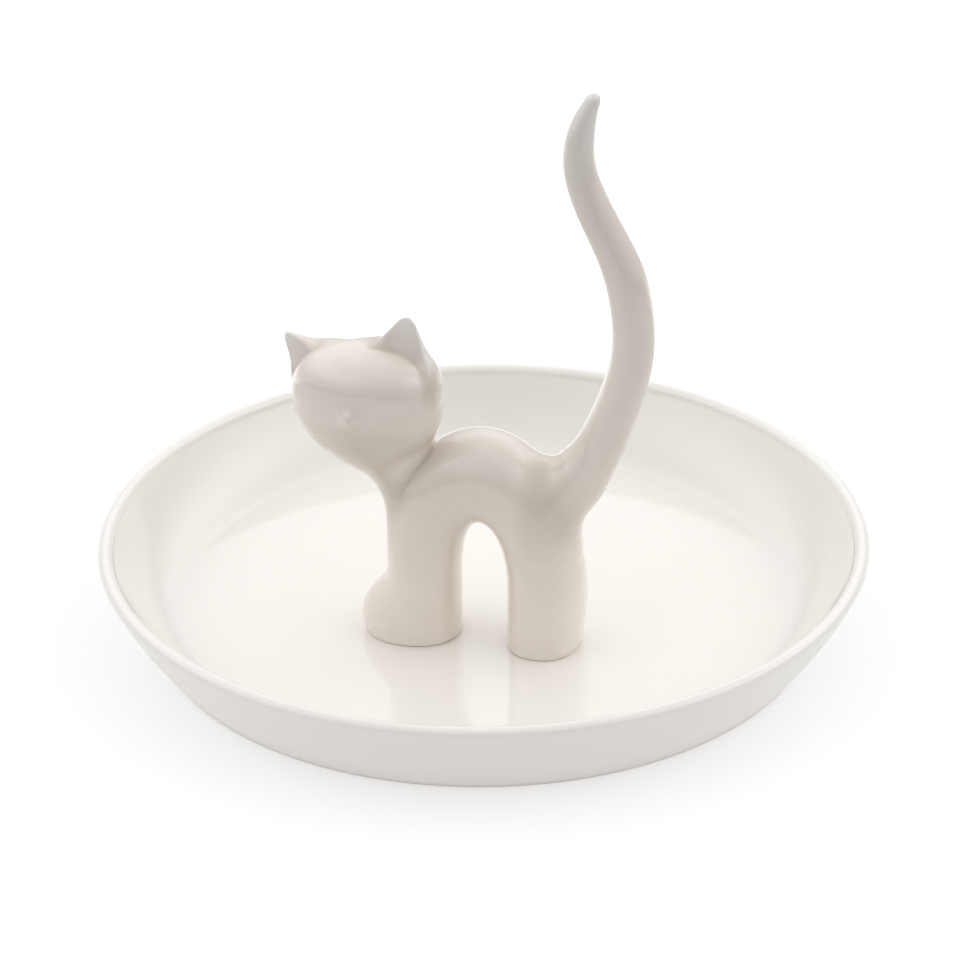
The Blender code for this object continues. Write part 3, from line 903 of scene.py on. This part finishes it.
def dish_profile(dish):
    """Outline (radius, height) of the dish from the middle of the floor round to under it.

    The inner wall rises with the square of its way out, the lip is a half circle, and the outer
    wall is a straight flare with a shallow belly that runs into the foot ring.
    """
    rim, base, flat = dish.rim / 2, dish.base / 2, dish.flat / 2
    lip = dish.lip / 2
    top = dish.foot + dish.floor
    lip_height = dish.height - lip
    ease = np.linspace(0.0, 1.0, WALL_ROWS)
    floor = spread_out(flat * np.linspace(0.0, 1.0, FLOOR_ROWS) ** FLOOR_SPACING, top)
    inner = spread_out(flat + (rim - dish.lip - flat) * ease,
                       top + (lip_height - top) * ease ** 2)
    angle = np.linspace(0.0, math.pi, LIP_ROWS)
    crest = spread_out(rim - lip - lip * np.cos(angle), lip_height + lip * np.sin(angle))
    fall = 1.0 - ease
    outer = spread_out(base + (rim - base) * fall + dish.swell * 4.0 * fall * ease,
                       HEEL_ROUND + (lip_height - HEEL_ROUND) * fall)
    quarter = np.linspace(0.0, math.pi / 2, HEEL_ROWS)
    heel = spread_out(base - HEEL_ROUND + HEEL_ROUND * np.cos(quarter),
                      HEEL_ROUND - HEEL_ROUND * np.sin(quarter))
    inside = base - dish.foot_width
    step = spread_out(inside - HEEL_ROUND * np.sin(quarter), dish.foot * (1.0 - np.cos(quarter)))
    under = spread_out((inside - HEEL_ROUND) * np.linspace(1.0, 0.0, UNDER_ROWS), dish.foot)
    return np.concatenate([floor, inner[1:], crest[1:], outer[1:], heel[1:], step, under[1:]])


class HOLDER_OT_dish(Operator):
    """Add the turned dish in place of its solid"""

    bl_idname = "holder.add_dish"
    bl_label = "Add Dish"

    def execute(self, context):
        """Turn the outline about the upright, whiter than the cat all over by painted light, and
        whitest on the lip, where the glaze draws off and a highlight is painted.
        """
        dish = context.scene.holder_dish
        outline = dish_profile(dish)
        turn = round_turn(DISH_COLUMNS)
        grid = spread_out(outline[:, :1] * np.cos(turn), outline[:, :1] * np.sin(turn),
                          outline[:, 1:])
        lip = np.hypot(outline[:, 0] - (dish.rim - dish.lip) / 2,
                       outline[:, 1] - (dish.height - dish.lip / 2)) / (dish.lip / 2)
        # Whiter than the cat all over, which is painted light, and whitest on the lip, where the
        # glaze draws off and a highlight is painted
        edge = DISH_PAINTED_LIGHT_SHARE + (1.0 - DISH_PAINTED_LIGHT_SHARE) * smoothstep(*LIP_THIN_AND_HIGHLIGHT_LIMITS, lip)
        add_piece(context, "dish_glazed", [(grid, 0.0, edge[:, None])], ["dish"])
        return {"FINISHED"}


class HOLDER_OT_body(Operator):
    """Add the cat's arched body, its two legs and its neck in place of their solid"""

    bl_idname = "holder.add_body"
    bl_label = "Add Cat Body"

    def execute(self, context):
        """Sweep a squared oval over the legs and the back, and a cone up the neck."""
        cat = CatShape(context.scene.holder_cat)
        add_cat_piece(context, cat, "cat_body_glazed", [self.trunk(cat), self.neck(cat)],
                      ["cat_body"])
        return {"FINISHED"}

    def trunk(self, cat):
        """A sheet of squared oval sections along the stations, rounded off at both soles."""
        sizes = cat.sizes
        quarter = np.linspace(0.0, math.pi / 2, SOLE_ROWS)[:-1]
        inset = np.concatenate([[sizes.depth], SOLE_ROUND * (1.0 - np.sin(quarter))])
        sunk = np.concatenate([[SOLE_ROUND], SOLE_ROUND * np.cos(quarter)])
        inset, sunk = (np.concatenate([end, np.zeros(BODY_ROWS), end[::-1]])
                       for end in (inset, sunk))
        station = np.concatenate([np.zeros(SOLE_ROWS), np.linspace(0.0, 3.0, BODY_ROWS),
                                  np.full(SOLE_ROWS, 3.0)])
        inner, outer = cat.outline(station)
        middle = (inner + outer) / 2
        half = (outer - inner) / 2
        width = np.linalg.norm(half, axis=-1)
        way = half / width[:, None]
        low = np.clip(1.0 - middle[:, 1] / SOLE_REACH, 0.0, 1.0)
        height = middle[:, 1] + (SOLE_ROUND - SOLE_GAP) * low - sunk
        cosine, sine = np.cos(round_turn(BODY_COLUMNS)), np.sin(round_turn(BODY_COLUMNS))
        reach = oval_reach(cosine, sine, sizes.squareness)
        across = np.maximum(width - inset, 0.0)[:, None] * (reach * cosine)
        deep = np.maximum(sizes.depth / 2 - inset, 0.0)[:, None] * (reach * sine)
        grid = spread_out(middle[:, :1] + way[:, :1] * across, deep,
                          height[:, None] + way[:, 1:] * across)
        return (*settle(cat, cat.body, [cat.neck, cat.head, cat.tail], grid), 0.0)

    def neck(self, cat):
        """A sheet of rings round the neck's axis, from inside the shoulder to inside the head."""
        sizes = cat.sizes
        along = np.linspace(-sizes.neck_root / 2, sizes.neck_length + sizes.neck_top / 2,
                            NECK_ROWS)
        held = np.clip(along, 0.0, sizes.neck_length)
        radius, drawn = cat.neck_rings(along)
        radius = np.sqrt(np.maximum(radius ** 2 - (along - held) ** 2, 0.0))
        front = np.cross(cat.nape_way, cat.neck_way)
        turn = round_turn(NECK_COLUMNS)[:, None]
        cosine, sine = np.cos(turn), np.sin(turn)
        ring = cosine * cat.nape_way + sine * front
        back = (drawn * (radius > 0.0))[:, None, None] * (cosine > 0.0) * cat.nape_way
        grid = (cat.neck_foot + along[:, None, None] * cat.neck_way
                + radius[:, None, None] * ring + back)
        return (*settle(cat, cat.neck, [cat.body, cat.head], grid), 0.0)


class HOLDER_OT_head(Operator):
    """Add the cat's head in place of its solid"""

    bl_idname = "holder.add_head"
    bl_label = "Add Cat Head"

    def execute(self, context):
        """Push a ball out to the head's squared and tapered girth, with the muzzle on it.

        The jaw is set aside last, so that the nose and the muzzle keep their places on the face.
        """
        cat = CatShape(context.scene.holder_cat)
        rise = np.linspace(-math.pi / 2, math.pi / 2, HEAD_ROWS)[:, None]
        turn = round_turn(HEAD_COLUMNS)[None]
        cosine, sine = np.cos(rise), np.sin(rise)
        reach = oval_reach(cosine, sine, cat.head_squareness(rise, np.cos(turn) ** 2))
        height = reach * sine
        girth = reach * cosine * cat.jaw(height)
        own = spread_out(girth * np.cos(turn), girth * np.sin(turn), height) * cat.head_half
        out = cat.muzzle(unit(own))[..., None] * unit(own)
        own[..., 0] -= cat.sizes.jaw_set * np.clip(height, -1.0, 0.0) ** 2
        grid = cat.head_middle + (own + out) @ cat.head_turn.T
        others = [cat.body, cat.neck, cat.ear_left, cat.ear_right]
        add_cat_piece(context, cat, "cat_head_glazed",
                      [(*settle(cat, cat.head, others, grid), 0.0)], ["cat_head"])
        return {"FINISHED"}


class HOLDER_OT_ears(Operator):
    """Add the cat's two ears in place of their solids"""

    bl_idname = "holder.add_ears"
    bl_label = "Add Cat Ears"

    def execute(self, context):
        """Stack flattened rings up each ear, closer together at the round root and tip.

        The glaze draws off toward the tip; the outer side above the root has a painted highlight.
        """
        cat = CatShape(context.scene.holder_cat)
        ends = np.linspace(0.0, 1.0, EAR_END_ROWS)
        rows = np.concatenate([-EAR_ROOT_SHARE * np.cos(ends[:-1] * math.pi / 2),
                               np.linspace(0.0, 1.0 - EAR_TIP_SHARE, EAR_ROWS - 2 * EAR_END_ROWS),
                               1.0 - EAR_TIP_SHARE * (1.0 - ends[1:]) ** 2])[:, None]
        cosine, sine = np.cos(round_turn(EAR_COLUMNS)), np.sin(round_turn(EAR_COLUMNS))
        reach = cat.ear_share(rows) * oval_reach(cosine, sine, cat.ear_squareness(sine))
        for left, own, node in ((True, cat.ear_left, "ear_left"),
                                (False, cat.ear_right, "ear_right")):
            root, turn, half, tall = cat.ear_frame(left)
            grid = spread_out(half * reach * cosine, cat.sizes.ear_depth / 2 * reach * sine,
                              tall * rows)
            # Painted highlight on the ear's outer side, where it faces the light from the side and
            # behind
            outer = smoothstep(*EAR_SIDE_HIGHLIGHT_LIMITS, cosine if left else -cosine)
            edge = np.maximum(smoothstep(*EAR_TIP_THIN_LIMITS, rows),
                              smoothstep(*EAR_SIDE_HIGHLIGHT_RISE_LIMITS, rows) * outer)
            sheet = (*settle(cat, own, [cat.head], root + grid @ turn.T), edge)
            add_cat_piece(context, cat, f"{node}_glazed", [sheet], [node])
        return {"FINISHED"}


class HOLDER_OT_tail(Operator):
    """Add the cat's tail in place of its solid"""

    bl_idname = "holder.add_tail"
    bl_label = "Add Cat Tail"

    def execute(self, context):
        """Carry a round section along the S and close it with a round tip.

        The tip's rings shrink with the cosine of a quarter turn and move on with its sine, just so
        far that the tip ends at the height of the solid that it takes the place of.
        """
        cat = CatShape(context.scene.holder_cat)
        course = cat.tail_line(np.linspace(0.0, 1.0, TAIL_ROWS))
        way = unit(np.gradient(course[:, :2], axis=0))
        turn = np.linspace(0.0, math.pi / 2, TAIL_END_ROWS)[1:]
        end_radius = course[-1, 2]
        rise = TAIL_HIGH.z - cat.sizes.sole - course[-1, 1]
        reach = math.sqrt(rise ** 2 - (end_radius * way[-1, 0]) ** 2) / way[-1, 1]
        cap = course[-1, :2] + way[-1] * (reach * np.sin(turn))[:, None]
        radius = np.concatenate([[0.0], course[:, 2], end_radius * np.cos(turn)])[:, None]
        middle = np.concatenate([course[:1, :2], course[:, :2], cap])
        way = np.concatenate([way[:1], way, np.repeat(way[-1:], len(turn), axis=0)])
        angle = round_turn(TAIL_COLUMNS)
        across = radius * np.cos(angle)
        grid = spread_out(middle[:, :1] + way[:, 1:] * across, radius * np.sin(angle),
                          middle[:, 1:] - way[:, :1] * across)
        edge = smoothstep(*TAIL_THIN_LIMITS, np.linspace(0.0, 1.0, len(grid)))[:, None]
        add_cat_piece(context, cat, "tail_glazed",
                      [(*settle(cat, cat.tail, [cat.body], grid), edge)], ["tail"])
        return {"FINISHED"}


class HOLDER_OT_stage(Operator):
    """Add the pale floor, the surrounding light and the camera"""

    bl_idname = "holder.add_stage"
    bl_label = "Add Studio"

    def execute(self, context):
        """Set the picture up from the stage settings."""
        stage = context.scene.holder_stage
        self.floor(context, stage)
        self.surround(context, stage)
        self.camera(context, stage)
        context.scene.view_settings.view_transform = "Standard"
        return {"FINISHED"}

    def floor(self, context, stage):
        """A wide disc of rings under the foot ring, white to the camera and keeping its shadow.

        Behind the dish it is also white to reflections, as a white wall there would be.
        """
        turn = round_turn(STUDIO_COLUMNS)
        spread = np.array(STUDIO_RADII)[:, None]
        points = spread_out(spread * np.cos(turn), spread * np.sin(turn), 0.0)
        ring = np.arange(points.size // 3).reshape(points.shape[:2])
        after = np.roll(ring, -1, axis=1)
        faces = np.stack([ring[:-1], ring[1:], after[1:], after[:-1]], -1).reshape(-1, 4)
        mesh = bpy.data.meshes.new("studio_floor")
        mesh.from_pydata(points.reshape(-1, 3).tolist(), [], faces.tolist())
        mesh.validate()
        material = bpy.data.materials.new("studio_floor")
        material.use_nodes = True
        shader = Shader(material.node_tree)
        path = shader.node("ShaderNodeLightPath").outputs
        seen, mirrored = (Value(shader.tree, path[f"Is {ray} Ray"]) for ray in ("Camera", "Glossy"))
        place = shader.node("ShaderNodeNewGeometry").outputs["Position"]
        away = shader.value("ShaderNodeVectorMath", 1, {"operation": "LENGTH"}, s0=place)
        away = away / stage.pool
        behind = shader.value("ShaderNodeVectorMath", 1, {"operation": "DOT_PRODUCT"}, s0=place,
                              s1=(-math.sin(stage.azimuth), math.cos(stage.azimuth), 0.0))
        behind = shader.ramp(behind / stage.pool, *FLOOR_BEHIND_LIMITS) * FLOOR_BEHIND_WHITE
        matt = shader.node("ShaderNodeBsdfDiffuse", None, Color=opaque(stage.floor)).outputs[0]
        matt = shader.blend(1.0 - shader.ramp(away, *FLOOR_MATT_LIMITS), None, matt)
        lit = shader.blend(1.0 - shader.ramp(away, *FLOOR_GLOW_LIMITS), None,
                           shader.glow(stage.floor_glow))
        shown = shader.blend(shader.ramp(away, *FLOOR_WHITE_LIMITS),
                             shader.glow(stage.floor_shown), shader.glow(1.0))
        lit = shader.blend(seen + behind * mirrored, lit, shown)
        both = shader.node("ShaderNodeAddShader", None, s0=matt, s1=lit)
        shader.node("ShaderNodeOutputMaterial", None, Surface=both.outputs[0])
        mesh.materials.append(material)
        floor = bpy.data.objects.new("studio_floor", mesh)
        context.scene.collection.objects.link(floor)

    def surround(self, context, stage):
        """A studio whose light goes over smoothly between overhead and four sides, high and low.

        The four sides share the light by the squares of the sideways and the forward part of the
        direction, which add up to one, and the camera stands in the middle of the front.
        """
        world = bpy.data.worlds.new("studio")
        context.scene.world = world
        world.use_nodes = True
        shader = Shader(world.node_tree)
        way = shader.node("ShaderNodeTexCoord").outputs["Generated"]
        turned = shader.node("ShaderNodeVectorRotate", {"rotation_type": "Z_AXIS"}, Vector=way,
                             Angle=-stage.azimuth).outputs[0]
        split = shader.node("ShaderNodeSeparateXYZ", None, Vector=turned).outputs
        side, toward, up = (Value(shader.tree, output) for output in split)
        flat = side * side + toward * toward + 0.0001
        sides = {}
        for name, part in (("right", side), ("left", -1.0 * side), ("back", toward),
                           ("front", -1.0 * toward)):
            half = shader.value("ShaderNodeClamp", 0, Value=part)
            sides[name] = half * half / flat
        high = shader.ramp(up, *HIGH_LIMITS)
        top = shader.ramp(up, *OVERHEAD_LIMITS)
        upper = lower = 0.0
        for name, share in sides.items():
            upper = upper + share * getattr(stage, f"high_{name}")
            lower = lower + share * getattr(stage, f"low_{name}")
        strength = lower * (1.0 - high) + upper * (high - top) + top * stage.zenith
        light = shader.node("ShaderNodeBackground", None, Color=WHITE, Strength=strength)
        shader.node("ShaderNodeOutputWorld", None, Surface=light.outputs[0])

    def camera(self, context, stage):
        """Stand the camera off the origin along its line of sight, then frame the dish."""
        back = Vector((math.sin(stage.azimuth) * math.cos(stage.elevation),
                       -math.cos(stage.azimuth) * math.cos(stage.elevation),
                       math.sin(stage.elevation)))
        right = Vector((math.cos(stage.azimuth), math.sin(stage.azimuth), 0.0))
        up = back.cross(right)
        turned = Matrix((right, up, back)).transposed() @ Matrix.Rotation(stage.roll, 3, "Z")
        right, up, back = turned.transposed()
        lens = bpy.data.cameras.new("camera")
        lens.lens = stage.lens
        lens.clip_start, lens.clip_end = CAMERA_REACH
        camera = bpy.data.objects.new("camera", lens)
        context.scene.collection.objects.link(camera)
        camera.matrix_world = Matrix.Translation(
            back * stage.distance + up * stage.rise - right * stage.slide) @ turned.to_4x4()
        context.scene.camera = camera


class HOLDER_PT_panel(Panel):
    """Lists the pieces of the jewelry holder and its studio"""

    bl_idname = "HOLDER_PT_panel"
    bl_label = "Jewelry Holder"
    bl_space_type = "VIEW_3D"
    bl_region_type = "UI"
    bl_category = "Jewelry Holder"

    def draw(self, context):
        """Draw one button for each piece and all the settings under them."""
        for kind in BUILDERS:
            self.layout.operator(kind.bl_idname)
        for group, kind in GROUPS.items():
            box = self.layout.box()
            for key in kind.__annotations__:
                box.prop(getattr(context.scene, group), key)


BUILDERS = (HOLDER_OT_dish, HOLDER_OT_body, HOLDER_OT_head, HOLDER_OT_ears, HOLDER_OT_tail,
            HOLDER_OT_stage)
GROUPS = {"holder_dish": HolderDishSettings, "holder_cat": HolderCatSettings,
          "holder_glaze": HolderGlazeSettings, "holder_stage": HolderStageSettings}


def register():
    """Register the settings, the operators and the panel."""
    for kind in (*GROUPS.values(), *BUILDERS, HOLDER_PT_panel):
        bpy.utils.register_class(kind)
    for name, kind in GROUPS.items():
        setattr(bpy.types.Scene, name, PointerProperty(type=kind))


def unregister():
    """Take out what register added."""
    for name in GROUPS:
        delattr(bpy.types.Scene, name)
    for kind in reversed((*GROUPS.values(), *BUILDERS, HOLDER_PT_panel)):
        bpy.utils.unregister_class(kind)


def main():
    """Register the add-on, and build every piece and the studio."""
    register()
    bpy.ops.holder.add_dish()
    bpy.ops.holder.add_body()
    bpy.ops.holder.add_head()
    bpy.ops.holder.add_ears()
    bpy.ops.holder.add_tail()
    bpy.ops.holder.add_stage()


if __name__ == "__main__":
    main()
